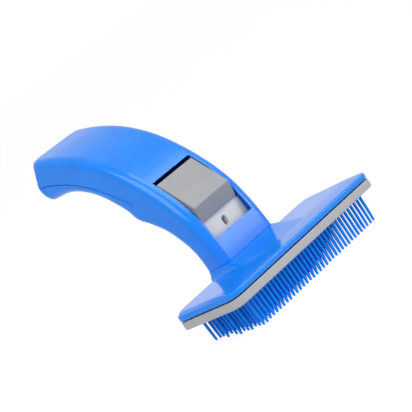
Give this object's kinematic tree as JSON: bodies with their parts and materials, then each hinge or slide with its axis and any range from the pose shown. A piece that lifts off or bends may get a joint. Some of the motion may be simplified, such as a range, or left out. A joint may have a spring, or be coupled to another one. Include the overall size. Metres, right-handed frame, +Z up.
{
  "type": "slicker brush",
  "caption": "Self-cleaning pet slicker brush: curved blue handle, and a thumb button that slides a grey plate down over the bristles.",
  "frame": {"origin": "centre of the plane that the bristle tips lie in, on the tip of the middle pin", "axes": "+X along the head, +Y towards the rear end of the handle, +Z up from the bristle tips to the handle"},
  "size_m": [0.102, 0.1171, 0.1059],
  "materials": {
    "blue_shell": "glossy moulded ABS",
    "blue_bristle": "smooth moulded nylon",
    "grey_slider": "satin moulded plastic",
    "steel": "zinc-plated"
  },
  "bodies": {
    "brush_body": {"handle_shell": "blue_shell", "grip_cover": "blue_shell", "head_housing": "blue_shell", "bristle_pad": "blue_bristle", "pad_screw_left": "steel", "pad_screw_right": "steel", "neck_screw_left": "steel", "neck_screw_right": "steel", "grip_screw_front": "steel", "grip_screw_left": "steel", "grip_screw_right": "steel", "return_spring_left": "steel", "return_spring_right": "steel"},
    "pusher": {"pusher_plate": "grey_slider", "push_link": "grey_slider", "thumb_button": "grey_slider", "button_screw_left": "steel", "button_screw_right": "steel", "plate_screw_left": "steel", "plate_screw_right": "steel"}
  },
  "joints": [
    {"name": "pusher_slide", "type": "slide", "parent": "brush_body", "child": "pusher", "axis": [0, 0, -1], "range_m": [0, 0.01], "stiffness_N_per_m": 200, "springref_m": -0.005, "deforming": ["return_spring_left", "return_spring_right"]}
  ]
}
